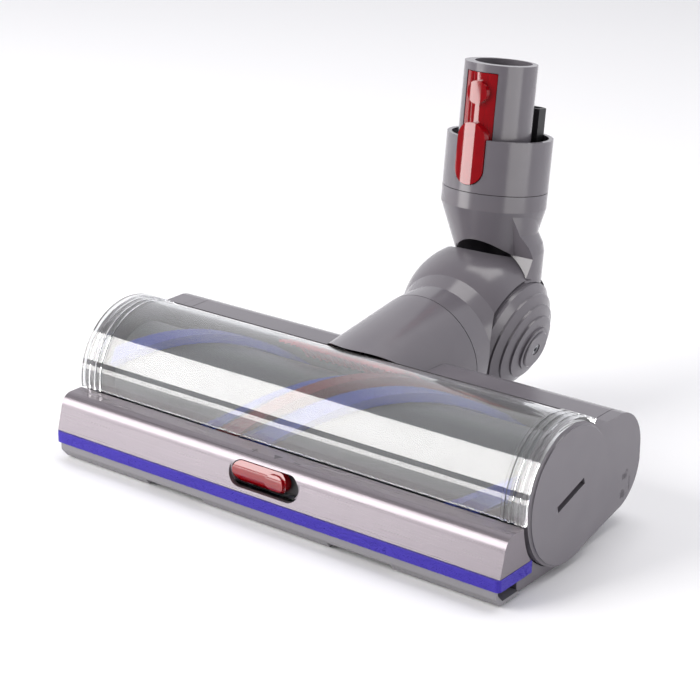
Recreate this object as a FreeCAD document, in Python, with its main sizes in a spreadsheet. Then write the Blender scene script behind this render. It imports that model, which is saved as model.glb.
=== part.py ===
import FreeCAD, Part
import math
import os
import re
import Sketcher
from FreeCAD import Placement, Rotation, Vector

# Motorised vacuum floor head with a brush bar behind a clear window and a wand neck that
# twists and tilts. Millimetres. +X is the end with the coin-slot cap, the front is -Y, +Z up.
# The head frame starts on the floor under the middle of the brush axis. The ball frame starts
# at the centre of the neck's ball, and is leaned with the neck pipe or with the upper neck.

SIZES = {
    # where the head frame lies in the part's own frame
    "head_x": 3.3,
    "head_y": -51.7,
    # brush chamber and window
    "brush_axis_z": 33.2,
    "chamber_radius": 31.2,
    "chamber_wall": 2.0,
    "window_radius": 32.6,
    "window_wall": 1.4,
    "window_half": 123.4,
    "window_front_angle": 184.0,
    "window_rear_angle": 55.0,
    "window_rib": 0.7,
    "window_rib_width": 1.5,
    "window_rib_pitch": 3.4,
    "window_rib_count": 4,
    "edge_gap": 0.3,
    # main frame
    "plate_inner": 114.6,
    "plate_outer": 120.4,
    "floor_gap": 0.8,
    "opening_front": 23.0,
    "opening_rear": 21.0,
    "opening_half": 109.0,
    "inlet_radius": 23.0,
    "rail_low_angle": 222.0,
    "wall_low_angle": 42.0,
    "plate_front": 33.0,
    "plate_step_z": 10.0,
    # rear housing outline
    "slope_start": 12.0,
    "slope_end": 48.9,
    "slope_rise": 8.3,
    "rear_y": 63.0,
    "rear_low_z": 27.0,
    "rear_high_z": 34.0,
    "rear_low_round": 21.0,
    "rear_high_round": 19.5,
    "roof_front": 34.0,
    "roof_rear": 46.0,
    "roof_z": 53.4,
    "cover_wall": 2.0,
    "cover_split_z": 30.8,
    # sole plate
    "sole_wall": 1.7,
    "sole_half": 121.6,
    "lip_y": 46.6,
    "lip_front_y": 50.0,
    "lip_knee_z": 5.0,
    "lip_top": 8.6,
    "sole_rear": 42.4,
    "notch_inner": 35.5,
    "notch_outer": 69.0,
    "notch_rise": 3.6,
    # felt strip
    "felt_half": 123.6,
    "felt_front": 50.8,
    "felt_depth": 3.0,
    "felt_high": 5.3,
    "felt_end": 27.0,
    "felt_corner": 2.0,
    # nose bar
    "nose_half": 123.4,
    "nose_wall": 1.8,
    "nose_back_radius": 33.8,
    "nose_top": 30.6,
    "nose_shoulder": 41.0,
    "nose_brow": 46.9,
    "nose_brow_z": 24.8,
    "nose_brow_round": 6.6,
    "nose_foot": 49.9,
    "nose_foot_z": 14.2,
    # slider in the nose bar
    "slider_z": 22.4,
    "slot_half": 18.6,
    "slot_high": 10.6,
    "slot_rim": 1.1,
    "slot_rim_depth": 46.9,
    "tray_wall": 1.2,
    "tray_floor_y": 42.4,
    "knob_half": 15.2,
    "knob_high": 9.6,
    "knob_front_y": 47.6,
    "knob_shift": 2.9,
    "grip_half": 5.0,
    "grip_high": 7.4,
    "grip_rise": 1.3,
    # end cap
    "cap_radius": 30.8,
    "cap_face_x": 124.4,
    "cap_depth": 7.2,
    "cap_edge": 1.2,
    "coin_long": 21.0,
    "coin_wide": 3.0,
    "coin_deep": 3.2,
    "coin_angle": 17.0,
    "spindle_radius": 4.0,
    "spindle_long": 9.0,
    # left end
    "pod_outer": 131.0,
    "pod_round": 3.0,
    # brush
    "core_radius": 22.0,
    "core_wall": 2.2,
    "core_half": 112.0,
    "blue_radius": 26.0,
    "red_radius": 28.8,
    "lone_turn": 203.5,
    "lone_wide": 10.0,
    "rear_turn": 21.0,
    "rear_wide": 11.0,
    "middle_turn": 46.0,
    "middle_wide": 8.0,
    "front_turn": 62.2,
    "front_wide": 4.0,
    "strip_gap": 0.15,
    "brush_pitch": 230.0,
    "strip_taper": 0.8,
    "strip_steps": 24,
    "plug_depth": 7.0,
    "run_gap": 0.05,
    # motor in the brush
    "motor_radius": 17.0,
    "motor_long": 62.0,
    "motor_start": 104.0,
    "gear_long": 26.0,
    "shaft_radius": 3.0,
    "shaft_long": 8.0,
    # ball and neck pipe: both joints cross in the ball's centre
    "ball_y": 112.0,
    "ball_z": 51.8,
    "ball_radius": 36.2,
    "ball_wall": 2.4,
    "ball_side": 18.0,
    "recess_depth": 2.4,
    "recess_radius": 30.4,
    "hinge_tip": 16.5,
    "pipe_rise": 8.5,
    "pipe_radius": 28.9,
    "pipe_wall": 2.4,
    "pipe_seam": 41.2,
    "pipe_reach": 100.0,
    "pipe_split": -8.0,
    "crease_y": 28.0,
    "crease_radius": 27.7,
    "blend_y": 20.0,
    "seam_gap": 0.4,
    "saddle_gap": 0.6,
    "sleeve_wall": 1.8,
    "sleeve_long": 16.0,
    "sleeve_grip": 6.0,
    "bulkhead_y": 17.0,
    "slot_across": 11.0,
    "slot_ease": 1.2,
    "slot_y": 18.3,
    "slot_radius": 19.9,
    "slot_low": 24.0,
    # upper neck
    "neck_z": 42.9,
    "neck_lean": 7.2,
    "disc_wall": 4.4,
    "disc_radius": 29.2,
    "disc_gap": 0.3,
    "arm_side": 4.0,
    "arm_back": 3.0,
    "arm_radius": 24.0,
    "arm_root_radius": 20.2,
    "arm_blend_radius": 23.0,
    "arm_low": 26.0,
    "arm_bend": 42.0,
    "arm_blend": 48.0,
    "arm_shoulder": 44.0,
    "arm_top": 62.0,
    "arm_neck": 53.0,
    "arm_inside": 10.0,
    "arm_top_y": -9.2,
    "arm_bend_y": 0.5,
    "arm_low_y": -6.0,
    "arm_rear_y": 28.0,
    "dome_radius": 36.3,
    "dome_edge": 0.6,
    "hub_rim_angle": 52.3,
    "hub_step_angle": 8.6,
    "hub_steps": 5,
    "hub_riser": 1.1,
    "hub_wall": 1.6,
    "hub_cap_radius": 9.3,
    "hub_face": 35.6,
    "cap_lip": 0.5,
    "pivot_radius": 7.0,
    "yoke_top": 71.7,
    "yoke_wall": 1.8,
    "yoke_shoulder": 64.0,
    "yoke_foot": 42.0,
    "yoke_foot_radius": 18.6,
    "yoke_foot_back": 8.0,
    "stem_low": 26.0,
    "stem_radius": 12.6,
    "arch_top": 48.8,
    "arch_radius": 17.2,
    "arch_side": 3.2,
    "arch_back": 4.0,
    "collar_radius": 25.3,
    "collar_wall": 2.2,
    "collar_back": 5.0,
    "collar_low": 72.0,
    "collar_top": 97.2,
    "collar_floor": 3.0,
    "tube_radius": 17.25,
    "tube_bore": 13.6,
    "tube_bore_back": 1.9,
    "tube_top": 131.6,
    # latch on the tube
    "latch_half": 8.2,
    "latch_low": 76.0,
    "latch_top": 127.6,
    "latch_deep": 4.2,
    "latch_wall": 1.5,
    "latch_sink": 0.3,
    "latch_gap": 0.35,
    "latch_pivot": 79.0,
    "latch_pin_radius": 0.9,
    "latch_pin_y": 13.9,
    "latch_pin_half": 9.2,
    "lug_high": 4.0,
    "catch_radius": 5.4,
    "catch_rise": 1.8,
    "catch_level": 118.6,
    "leaf_low": 92.0,
    "leaf_high": 12.0,
    "leaf_half": 3.0,
    "leaf_wall": 0.4,
    "button_half": 7.6,
    "button_low": 75.4,
    "button_top": 104.6,
    "button_front": 20.9,
    # connector behind the tube
    "plug_half": 12.0,
    "plug_front": 18.4,
    "plug_rear": 26.4,
    "plug_top": 110.0,
    "plug_wall": 1.6,
    "contact_radius": 0.8,
    "contact_step": 6.0,
    # wheels
    "wheel_x": 46.0,
    "wheel_y": 33.5,
    "wheel_radius": 4.6,
    "wheel_wide": 11.0,
    "wheel_axle": 1.5,
    "well_gap": 1.2,
    "roller_x": 90.0,
    "roller_y": 38.0,
    "roller_radius": 3.7,
    "roller_wide": 9.0,
    "roller_axle": 1.1,
    "rib_wall": 1.6,
    # hose in the knuckle
    "hose_radius": 10.4,
    "hose_wall": 1.2,
    "hose_bend": 18.0,
    # comb, board, seal and screws
    "comb_half": 34.0,
    "comb_low": 33.0,
    "comb_high": 66.0,
    "comb_deep": 1.3,
    "comb_pitch": 3.6,
    "vane_wide": 1.2,
    "board_start": 42.0,
    "board_end": 106.0,
    "board_wall": 1.6,
    "board_z": 28.0,
    "seal_radius": 1.0,
    "screw_head": 2.8,
    "screw_high": 1.5,
    "screw_shank": 1.45,
    "screw_drive": 1.0,
    "screw_lobe_ring": 1.05,
    "screw_lobe": 0.4,
    "screw_boss": 4.0,
    "screw_top": 7.8,
    "screw_y": 36.0,
    "screw_inner_x": 22.0,
    "screw_outer_x": 76.0,
}

doc = FreeCAD.newDocument("floor_head")
sheet = doc.addObject("Spreadsheet::Sheet", "Sizes")
for row, (alias, number) in enumerate(SIZES.items(), start=1):
    sheet.set(f"A{row}", alias)
    sheet.set(f"B{row}", str(number))
    sheet.setAlias(f"B{row}", alias)
doc.recompute()


# Formulas on the sheet's names

def words(text):
    """Point every size name in a formula at its cell in the sheet."""
    def cell(match):
        return "Sizes." + match.group() if match.group() in SIZES else match.group()
    return re.sub(r"[a-z][a-z0-9_]*", cell, text)


def size(text):
    """The number that a formula gives now."""
    return float(sheet.evalExpression(words(text)))


def bind(thing, prop, text):
    """Tie one property to a formula, so that it follows the sheet."""
    thing.setExpression(prop, words(text))


def round_point(radius, angle):
    """A point of the head's section at a radius and an angle about the brush axis."""
    return (f"({radius})*cos({angle})", f"brush_axis_z + ({radius})*sin({angle})")


# Sketched bodies

def new_body(label):
    return doc.addObject("PartDesign::Body", label)


def new_sketch(body, role, offset="0"):
    """A sketch on one of the body's own origin planes, moved along its normal."""
    plane = [item for item in body.Origin.OriginFeatures if item.Role == role][0]
    sketch = body.newObject("Sketcher::SketchObject", body.Name + "_sketch")
    sketch.AttachmentSupport = [(plane, "")]
    sketch.MapMode = "FlatFace"
    bind(sketch, "AttachmentOffset.Base.z", offset)
    return sketch


def fix_point(sketch, line, end, across, up):
    """Hold one end of a line at a place given by two formulas."""
    for kind, text in (("DistanceX", across), ("DistanceY", up)):
        number = sketch.addConstraint(Sketcher.Constraint(kind, -1, 1, line, end, size(text)))
        bind(sketch, f"Constraints[{number}]", text)


def bulge(first, last, radius, way):
    """The middle of the shorter arc of a radius that runs from first to last."""
    chord = last - first
    middle = (first + last) * 0.5
    normal = Vector(-chord.y, chord.x, 0).normalize()
    if way == "cw":
        normal = normal * -1
    depth = math.sqrt(max(radius ** 2 - (chord.Length / 2) ** 2, 0))
    return middle + normal * (depth - radius)


HALF_CIRCLE = 1e-6


def draw(sketch, points):
    """Close an outline: (across, up), and (radius, cw or ccw) where an arc leaves the point.

    A sketched arc runs counter-clockwise, so the head of a clockwise one is its second end.
    A half circle is held by its ends alone.
    """
    places = [Vector(size(point[0]), size(point[1]), 0) for point in points]
    start = sketch.GeometryCount
    count = len(points)
    for index, point in enumerate(points):
        first = places[index]
        last = places[(index + 1) % count]
        if len(point) == 4:
            through = bulge(first, last, size(point[2]), point[3])
            sketch.addGeometry(Part.Arc(first, through, last), False)
        else:
            sketch.addGeometry(Part.LineSegment(first, last), False)
    heads = [2 if point[-1] == "cw" else 1 for point in points]
    for index in range(count):
        nxt = (index + 1) % count
        link = Sketcher.Constraint("Coincident", start + index, 3 - heads[index], start + nxt, heads[nxt])
        sketch.addConstraint(link)
    for index, point in enumerate(points):
        fix_point(sketch, start + index, heads[index], point[0], point[1])
        chord = (places[(index + 1) % count] - places[index]).Length
        if len(point) == 4 and abs(chord - 2 * size(point[2])) > HALF_CIRCLE:
            held = Sketcher.Constraint("Radius", start + index, size(point[2]))
            number = sketch.addConstraint(held)
            bind(sketch, f"Constraints[{number}]", point[2])


def draw_circle(sketch, across, up, radius):
    """A circle held by its centre and radius."""
    place = Vector(size(across), size(up), 0)
    number = sketch.addGeometry(Part.Circle(place, Vector(0, 0, 1), size(radius)), False)
    fix_point(sketch, number, 3, across, up)
    held = sketch.addConstraint(Sketcher.Constraint("Radius", number, size(radius)))
    bind(sketch, f"Constraints[{held}]", radius)


def draw_slot(sketch, across, up, half, high):
    """A stadium: half its length across and its full height."""
    end = f"({high})/2"
    flat = f"({half}) - {end}"
    draw(sketch, [
        (f"({across}) - ({flat})", f"({up}) - {end}"),
        (f"({across}) + ({flat})", f"({up}) - {end}", end, "ccw"),
        (f"({across}) + ({flat})", f"({up}) + {end}"),
        (f"({across}) - ({flat})", f"({up}) + {end}", end, "ccw"),
    ])


def draw_box(sketch, left, right, low, high):
    """A rectangle from four formulas."""
    draw(sketch, [(left, low), (right, low), (right, high), (left, high)])


def extrude(body, kind, sketch, length, side="One side", back=False):
    """A pad or a pocket of a sketch."""
    feature = body.newObject("PartDesign::" + kind, body.Name + "_" + kind.lower())
    feature.Profile = sketch
    bind(feature, "Length", length)
    feature.SideType = side
    feature.Reversed = back
    sketch.Visibility = False
    return feature


def spin(body, kind, sketch, axis="H_Axis"):
    """A revolution or a groove of a sketch about one of its axes."""
    feature = body.newObject("PartDesign::" + kind, body.Name + "_" + kind.lower())
    feature.Profile = sketch
    feature.ReferenceAxis = (sketch, [axis])
    feature.Angle = 360
    return feature


# Simple solids and what is cut from or joined to them

def solid(kind, at=("0", "0", "0"), axis=None, **props):
    """A primitive with its sizes bound; axis turns its own z along x or y."""
    thing = doc.addObject("Part::" + kind, "solid")
    for prop, text in props.items():
        bind(thing, prop, text)
    if axis == "x":
        thing.Placement = Placement(Vector(), Rotation(Vector(0, 1, 0), 90))
    if axis == "y":
        thing.Placement = Placement(Vector(), Rotation(Vector(1, 0, 0), -90))
    for letter, text in zip("xyz", at):
        bind(thing, "Placement.Base." + letter, text)
    return thing


def rod(radius, start, length, axis="x", at=("0", "0")):
    """A cylinder along an axis from its start, at the other two coordinates."""
    spot = {"x": (start, at[0], at[1]), "y": (at[0], start, at[1]), "z": (at[0], at[1], start)}
    return solid("Cylinder", at=spot[axis], axis=axis, Radius=radius, Height=length)


def block(low, high):
    """A box from its low corner to its high corner."""
    long, wide, tall = [f"({top}) - ({base})" for base, top in zip(low, high)]
    return solid("Box", at=low, Length=long, Width=wide, Height=tall)


def minus(base, *tools):
    """One solid with others taken away."""
    for tool in tools:
        step = doc.addObject("Part::Cut", "cut")
        step.Base = base
        step.Tool = tool
        base = step
    return base


def plus(*things):
    """Several solids joined into one."""
    joined = doc.addObject("Part::MultiFuse", "joined")
    joined.Shapes = list(things)
    joined.Refine = True
    return joined


def both(base, tool):
    """What two solids share."""
    step = doc.addObject("Part::Common", "shared")
    step.Base = base
    step.Tool = tool
    return step


# Places in the part's frame

TILTS = {
    "head": Rotation(),
    "brush": Rotation(),
    "pipe": Rotation(Vector(1, 0, 0), size("pipe_rise")),
    "ball": Rotation(Vector(1, 0, 0), size("pipe_rise")) * Rotation(Vector(0, 1, 0), size("hinge_tip")),
    "neck": Rotation(Vector(1, 0, 0), -size("neck_lean")),
}
STARTS = {
    "head": ("0", "0", "0"),
    "brush": ("0", "0", "brush_axis_z"),
    "pipe": ("0", "ball_y", "ball_z"),
    "ball": ("0", "ball_y", "ball_z"),
    "neck": ("0", "ball_y", "neck_z"),
}


def place(thing, frame):
    """A solid that was made in one of the frames, put where it belongs in the head frame."""
    group = doc.addObject("Part::Compound", "placed")
    group.Links = [thing]
    group.Placement = Placement(Vector(), TILTS[frame])
    for letter, text in zip("xyz", STARTS[frame]):
        bind(group, "Placement.Base." + letter, text)
    return group


PIECES = []


def piece(label, thing, frame="head"):
    """Name a finished piece and place it from the frame that it was made in."""
    if thing.TypeId in ("Part::Cylinder", "Part::Box", "Part::Sphere"):
        thing = place(thing, "head")
    thing.Label = label
    thing.Placement = Placement(Vector(), TILTS[frame])
    for letter, text in zip("xyz", STARTS[frame]):
        shift = {"x": "head_x + ", "y": "head_y + ", "z": ""}[letter]
        bind(thing, "Placement.Base." + letter, shift + text)
    PIECES.append(thing)
    return thing


# Head section: the outline that the end plates and the rear housing share

HOUSING_FOOT = [("slope_start", "floor_gap"), ("slope_end", "floor_gap + slope_rise", "rear_low_round", "ccw")]
HOUSING_BACK = [("rear_y", "rear_low_z"), ("rear_y", "rear_high_z", "rear_high_round", "ccw")]
HOUSING_ROOF = [("roof_rear", "roof_z"), ("roof_front", "roof_z")]


# Main frame: two end plates, the chamber's rear wall and the front rail in one moulding

def chamber_band(body, low, high):
    """A strip of the chamber's wall between two angles, the whole way between the end plates."""
    sketch = new_sketch(body, "YZ_Plane")
    outer = "chamber_radius + chamber_wall"
    draw(sketch, [
        round_point("chamber_radius", low),
        round_point(outer, low) + (outer, "ccw"),
        round_point(outer, high),
        round_point("chamber_radius", high) + ("chamber_radius", "cw"),
    ])
    extrude(body, "Pad", sketch, "plate_inner + plate_outer", "Symmetric")


def end_plate(body, side):
    """The C-shaped plate that closes one end and holds the end cap in its throat."""
    offset = "plate_inner" if side > 0 else "-plate_outer"
    sketch = new_sketch(body, "YZ_Plane", offset)
    rim = "chamber_radius + chamber_wall"
    rear = "window_rear_angle - 1"
    front = "window_front_angle + 4"
    draw(sketch, [
        ("-plate_front", "floor_gap"),
        *HOUSING_FOOT, *HOUSING_BACK, *HOUSING_ROOF,
        round_point(rim, rear),
        round_point("chamber_radius", rear) + ("chamber_radius", "cw"),
        round_point("chamber_radius", "-60") + ("chamber_radius", "cw"),
        round_point("chamber_radius", front),
        round_point(rim, front) + (rim, "ccw"),
        round_point(rim, "window_front_angle + 31"),
        ("-plate_front", "plate_step_z"),
    ])
    extrude(body, "Pad", sketch, "plate_outer - plate_inner")


def make_main_frame():
    body = new_body("main_frame")
    end_plate(body, 1)
    chamber_band(body, "-wall_low_angle", "window_rear_angle - 1")
    chamber_band(body, "window_front_angle + 4", "rail_low_angle")
    end_plate(body, -1)
    inlet = new_sketch(body, "XZ_Plane", "-roof_rear")
    draw_circle(inlet, "0", "brush_axis_z", "inlet_radius")
    extrude(body, "Pocket", inlet, "roof_rear - opening_rear/2", back=True)
    piece("main_frame", body)


# Clear window: an arc of tube with raised rings at its ends

def window_band(body, outer, start, length):
    sketch = new_sketch(body, "YZ_Plane", start)
    inner = "window_radius - window_wall"
    draw(sketch, [
        round_point(inner, "window_rear_angle"),
        round_point(outer, "window_rear_angle") + (outer, "ccw"),
        round_point(outer, "window_front_angle"),
        round_point(inner, "window_front_angle") + (inner, "cw"),
    ])
    extrude(body, "Pad", sketch, length)


def make_window():
    body = new_body("clear_window")
    window_band(body, "window_radius", "-window_half", "2*window_half")
    raised = "window_radius + window_rib"
    for ring in range(int(size("window_rib_count"))):
        step = f"{ring}*window_rib_pitch"
        window_band(body, raised, f"window_half - window_rib_width - {step}", "window_rib_width")
        window_band(body, raised, f"-window_half + {step}", "window_rib_width")
    piece("clear_window", body)


# Sole plate: floor of the head with the brush opening, the lip and its two notches

def wheel_places():
    """Middle, radius, width and axle of the rear wheels and the front rollers."""
    return [
        ("wheel_x", "wheel_y", "wheel_radius", "wheel_wide", "wheel_axle"),
        ("-wheel_x", "wheel_y", "wheel_radius", "wheel_wide", "wheel_axle"),
        ("roller_x", "-roller_y", "roller_radius", "roller_wide", "roller_axle"),
        ("-roller_x", "-roller_y", "roller_radius", "roller_wide", "roller_axle"),
    ]


SCREW_PLACES = ("screw_inner_x", "-screw_inner_x", "screw_outer_x", "-screw_outer_x")


def make_sole_plate():
    body = new_body("sole_plate_blank")
    section = new_sketch(body, "YZ_Plane")
    slope = "slope_rise/(slope_end - slope_start)"
    draw(section, [
        ("-lip_y", "floor_gap"),
        ("slope_start", "floor_gap"),
        ("sole_rear", f"floor_gap + (sole_rear - slope_start)*{slope}"),
        ("sole_rear", f"floor_gap + sole_wall + (sole_rear - slope_start)*{slope}"),
        ("slope_start", "floor_gap + sole_wall"),
        ("-lip_y + sole_wall", "floor_gap + sole_wall"),
        ("-lip_front_y + sole_wall", "lip_knee_z + 1"),
        ("-lip_front_y + sole_wall", "lip_top"),
        ("-lip_front_y", "lip_top"),
        ("-lip_front_y", "lip_knee_z"),
    ])
    extrude(body, "Pad", section, "2*sole_half", "Symmetric")
    opening = new_sketch(body, "XY_Plane")
    draw_box(opening, "-opening_half", "opening_half", "-opening_front", "opening_rear")
    extrude(body, "Pocket", opening, "2*lip_top", "Symmetric")
    for side in ("", "-"):
        shoulder = new_sketch(body, "XY_Plane")
        inner = f"{side}(plate_inner - edge_gap)"
        outer = f"{side}(sole_half + 1)"
        ends = (inner, outer) if side == "" else (outer, inner)
        draw_box(shoulder, *ends, "-plate_front - edge_gap", "sole_rear + 1")
        extrude(body, "Pocket", shoulder, "4*lip_top", "Symmetric")
        notch = new_sketch(body, "XZ_Plane", "opening_front + 1")
        ends = (f"{side}notch_inner", f"{side}notch_outer")
        draw_box(notch, *(ends if side == "" else ends[::-1]), "0", "notch_rise")
        extrude(body, "Pocket", notch, "lip_front_y", back=True)
    walls, hollows = [], []
    for centre, back, radius, wide, axle in wheel_places():
        across = f"({wide}/2 + well_gap)"
        along = f"({radius} + well_gap)"
        walls.append(block((f"{centre} - {across} - rib_wall", f"{back} - {along} - rib_wall", f"{radius} - {axle} - rib_wall"),
                           (f"{centre} + {across} + rib_wall", f"{back} + {along} + rib_wall", f"{radius} + {along} + rib_wall")))
        hollows.append(block((f"{centre} - {across}", f"{back} - {along}", "-1"),
                             (f"{centre} + {across}", f"{back} + {along}", f"{radius} + {along}")))
        hollows.append(rod(f"{axle} + run_gap", f"{centre} - {across} - 2*rib_wall", f"2*{across} + 4*rib_wall", "x",
                           at=(back, radius)))
    for across in SCREW_PLACES:
        spot = (across, "-screw_y")
        walls.append(rod("screw_boss", "floor_gap + sole_wall/2", "screw_top - floor_gap - sole_wall/2", "z", at=spot))
        hollows.append(rod("screw_head + 0.1", "-1", "floor_gap + sole_wall + 1", "z", at=spot))
        hollows.append(rod("screw_shank + run_gap", "0", "2*screw_top", "z", at=spot))
    piece("sole_plate", minus(plus(body, *walls), *hollows))


# Felt strip that wraps round the front corners

def make_felt():
    body = new_body("front_felt_strip")
    sketch = new_sketch(body, "XY_Plane", "lip_top + 0.1")
    bend = "felt_corner"
    draw(sketch, [
        ("-felt_half", "-felt_end"),
        ("-felt_half", f"-felt_front + {bend}", bend, "ccw"),
        (f"-felt_half + {bend}", "-felt_front"),
        (f"felt_half - {bend}", "-felt_front", bend, "ccw"),
        ("felt_half", f"-felt_front + {bend}"),
        ("felt_half", "-felt_end"),
        ("felt_half - felt_depth", "-felt_end"),
        ("felt_half - felt_depth", "-felt_front + felt_depth"),
        ("-felt_half + felt_depth", "-felt_front + felt_depth"),
        ("-felt_half + felt_depth", "-felt_end"),
    ])
    extrude(body, "Pad", sketch, "felt_high")
    piece("front_felt_strip", body)


# Nose bar: a hollow metallised bar with closed ends and the slider's slot

def nose_section(body, skin, length, kind):
    """The bar's section, or the same set in by the wall to hollow it."""
    sketch = new_sketch(body, "YZ_Plane")
    back = "nose_back_radius" if skin == "0" else "nose_back_radius - 3"
    top = f"nose_top - {skin}"
    foot = "nose_foot_z" if skin == "0" else "nose_foot_z - 1"
    draw(sketch, [
        (f"-nose_foot + {skin}", foot),
        (f"-sqrt(({back})^2 - (brush_axis_z - {foot})^2)", foot, back, "cw"),
        (f"-sqrt(({back})^2 - (brush_axis_z - ({top}))^2)", top),
        ("-nose_shoulder", top, f"nose_brow_round - {skin}", "ccw"),
        (f"-nose_brow + {skin}", "nose_brow_z"),
    ])
    extrude(body, kind, sketch, length, "Symmetric")


def make_nose_bar():
    body = new_body("nose_bar")
    nose_section(body, "0", "2*nose_half", "Pad")
    nose_section(body, "nose_wall", "2*(nose_half - nose_wall)", "Pocket")
    slot = new_sketch(body, "XZ_Plane", "nose_shoulder")
    draw_slot(slot, "0", "slider_z", "slot_half", "slot_high")
    extrude(body, "Pocket", slot, "nose_foot", back=True)
    rim = new_sketch(body, "XZ_Plane", "slot_rim_depth")
    draw_slot(rim, "0", "slider_z", "slot_half + slot_rim", "slot_high + 2*slot_rim")
    extrude(body, "Pocket", rim, "nose_foot", back=True)
    piece("nose_bar", body)


def make_slider():
    tray = new_body("slider_tray")
    base = new_sketch(tray, "XZ_Plane", "tray_floor_y")
    draw_slot(base, "0", "slider_z", "slot_half - 0.1", "slot_high - 0.2")
    extrude(tray, "Pad", base, "tray_wall")
    piece("slider_tray", tray)
    knob = new_body("slider_knob")
    base = new_sketch(knob, "XZ_Plane", "tray_floor_y + tray_wall + edge_gap")
    middle = "-knob_shift"
    draw_slot(base, middle, "slider_z", "knob_half", "knob_high")
    extrude(knob, "Pad", base, "knob_front_y - tray_floor_y - tray_wall - edge_gap")
    grip = new_sketch(knob, "XZ_Plane", "knob_front_y")
    draw_slot(grip, f"{middle} + knob_half - grip_half - 1", "slider_z", "grip_half", "grip_high")
    extrude(knob, "Pad", grip, "grip_rise")
    piece("slider_knob", knob)


# Rear housing: cover above, pan below, and the pod on the left end

def pipe_bore(gap):
    """What the neck pipe takes out of a piece that it passes through."""
    return place(rod(f"pipe_radius + {gap}", "-1.2*pipe_reach", "1.2*pipe_reach", "y"), "pipe")


def make_rear_cover():
    body = new_body("rear_cover_blank")
    sketch = new_sketch(body, "YZ_Plane")
    rim = "chamber_radius + chamber_wall + edge_gap"
    wall = "cover_wall"
    draw(sketch, [
        (f"rear_y - {wall}", "cover_split_z"),
        ("rear_y", "cover_split_z"),
        HOUSING_BACK[1], *HOUSING_ROOF,
        round_point(rim, "window_rear_angle - 1"),
        round_point(rim, "window_rear_angle - 8"),
        ("roof_front + 0.4", f"roof_z - {wall}"),
        ("roof_rear", f"roof_z - {wall}", f"rear_high_round - {wall}", "cw"),
        (f"rear_y - {wall}", "rear_high_z"),
    ])
    extrude(body, "Pad", sketch, "2*(plate_inner - edge_gap)", "Symmetric")
    cover = minus(body, pipe_bore("edge_gap"))
    for side, low, high in (("right", "0", "pod_outer"), ("left", "-pod_outer", "0")):
        half = block((low, "0", "0"), (high, "ball_y", "ball_z*2"))
        piece(f"rear_cover_{side}", both(cover, half))


def make_rear_pan():
    body = new_body("rear_pan_blank")
    sketch = new_sketch(body, "YZ_Plane")
    slope = "slope_rise/(slope_end - slope_start)"
    start = "sole_rear + edge_gap"
    rise = f"floor_gap + ({start} - slope_start)*{slope}"
    wall = "cover_wall"
    draw(sketch, [
        (start, rise),
        HOUSING_FOOT[1],
        ("rear_y", "rear_low_z"),
        ("rear_y", "cover_split_z - 0.1"),
        (f"rear_y - {wall}", "cover_split_z - 0.1"),
        (f"rear_y - {wall}", "rear_low_z", f"rear_low_round - {wall}", "cw"),
        ("slope_end - 0.3", f"floor_gap + slope_rise + {wall}"),
        (start, f"{rise} + {wall}"),
    ])
    extrude(body, "Pad", sketch, "2*(plate_inner - edge_gap)", "Symmetric")
    piece("rear_pan", minus(body, pipe_bore("edge_gap")))


def make_left_pod():
    body = new_body("left_end_pod")
    sketch = new_sketch(body, "YZ_Plane", "-pod_outer")
    rim = "chamber_radius + chamber_wall"
    draw(sketch, [
        round_point(rim, "-wall_low_angle"),
        ("slope_end", "floor_gap + slope_rise", "rear_low_round", "ccw"),
        *HOUSING_BACK, *HOUSING_ROOF,
        round_point(rim, "window_rear_angle - 3") + (rim, "cw"),
    ])
    extrude(body, "Pad", sketch, "pod_outer - plate_outer - 0.1")
    piece("left_end_pod", body)


# Pieces about the brush axis

def turned(label, points, frame="brush"):
    """A piece turned about the x axis from half of its section."""
    body = new_body(label)
    sketch = new_sketch(body, "XY_Plane")
    draw(sketch, points)
    spin(body, "Revolution", sketch)
    return body


def make_end_caps():
    back = "cap_face_x - cap_depth"
    cap = turned("end_cap_blank", [
        (f"{back} - spindle_long", "0"),
        ("cap_face_x", "0"),
        ("cap_face_x", "cap_radius - cap_edge", "cap_edge", "cw"),
        ("cap_face_x - cap_edge", "cap_radius"),
        (back, "cap_radius"),
        (back, "spindle_radius"),
        (f"{back} - spindle_long", "spindle_radius"),
    ])
    slot = block(("cap_face_x - coin_deep", "-coin_long/2", "-coin_wide/2"),
                 ("cap_face_x + 1", "coin_long/2", "coin_wide/2"))
    slot.Placement = Placement(Vector(), Rotation(Vector(1, 0, 0), size("coin_angle")))
    bind(slot, "Placement.Base.x", "cap_face_x - coin_deep")
    half = ("coin_long/2*cos(coin_angle)", "coin_wide/2*sin(coin_angle)")
    bind(slot, "Placement.Base.y", f"{half[1]} - {half[0]}")
    bind(slot, "Placement.Base.z", "-coin_long/2*sin(coin_angle) - coin_wide/2*cos(coin_angle)")
    piece("end_cap", minus(cap, slot), "brush")
    fixed = turned("left_end_cap", [
        ("-window_half", "0"),
        (f"-window_half + cap_depth + spindle_long", "0"),
        (f"-window_half + cap_depth + spindle_long", "motor_radius - 3"),
        (f"-window_half + cap_depth", "motor_radius - 3"),
        (f"-window_half + cap_depth", "cap_radius"),
        ("-window_half + cap_edge", "cap_radius", "cap_edge", "ccw"),
        ("-window_half", "cap_radius - cap_edge"),
    ])
    piece("left_end_cap", fixed, "brush")


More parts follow.
